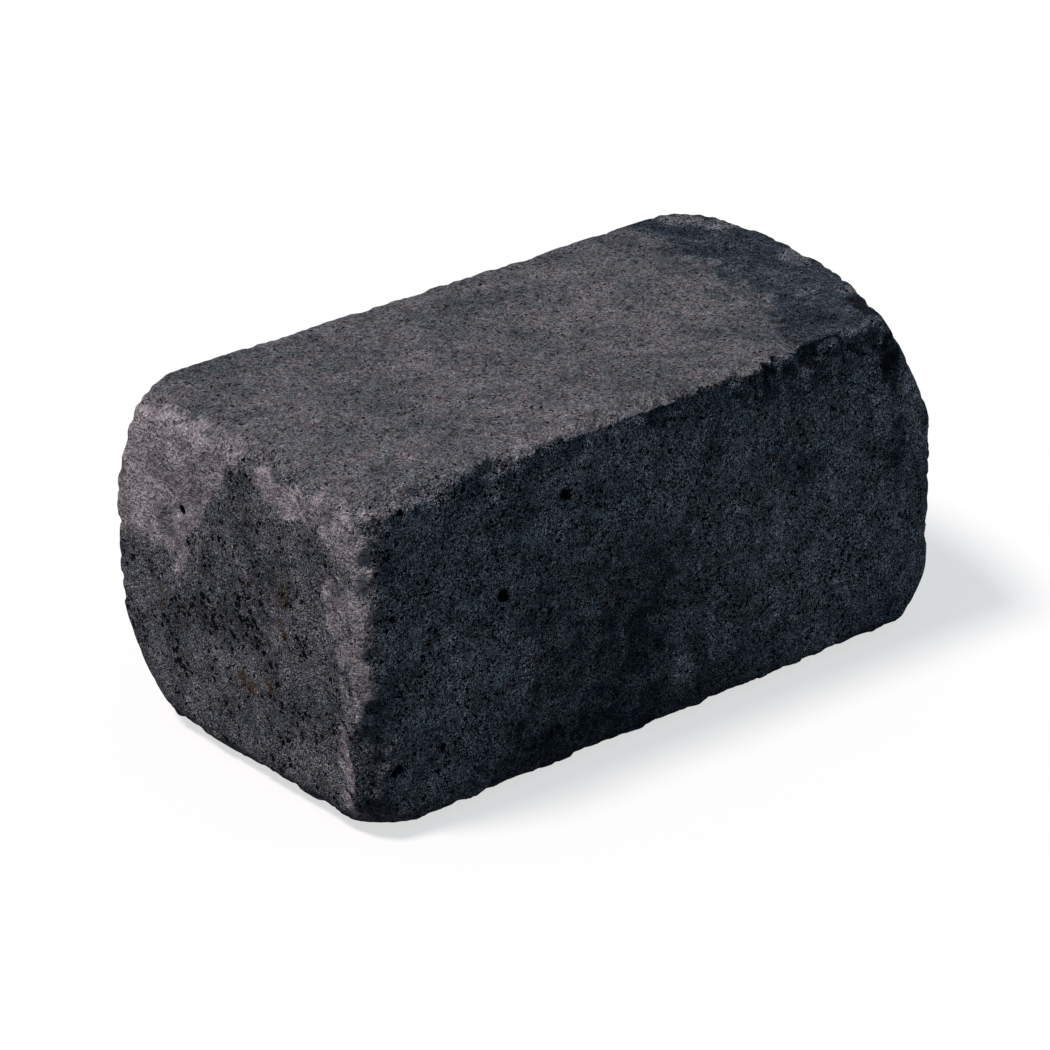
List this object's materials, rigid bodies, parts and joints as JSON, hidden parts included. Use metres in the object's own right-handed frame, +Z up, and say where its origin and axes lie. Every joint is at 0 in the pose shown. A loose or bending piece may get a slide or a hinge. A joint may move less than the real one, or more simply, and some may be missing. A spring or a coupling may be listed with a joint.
{
  "type": "garden wall block",
  "caption": "Solid tumbled concrete walling block with rounded arrises, knocked-off corners and flat bed faces, laid in courses for a garden wall.",
  "frame": {"origin": "middle of the bottom bed face", "axes": "+X along the block's length, +Y across its width towards the back, +Z up; the front is the long side at -Y"},
  "size_m": [0.295, 0.162, 0.14],
  "materials": {
    "concrete": "dark grey through-coloured concrete, matt and grainy, paler where tumbling rubbed the arrises"
  },
  "bodies": {
    "root": {"wall_block": "concrete"}
  },
  "joints": []
}
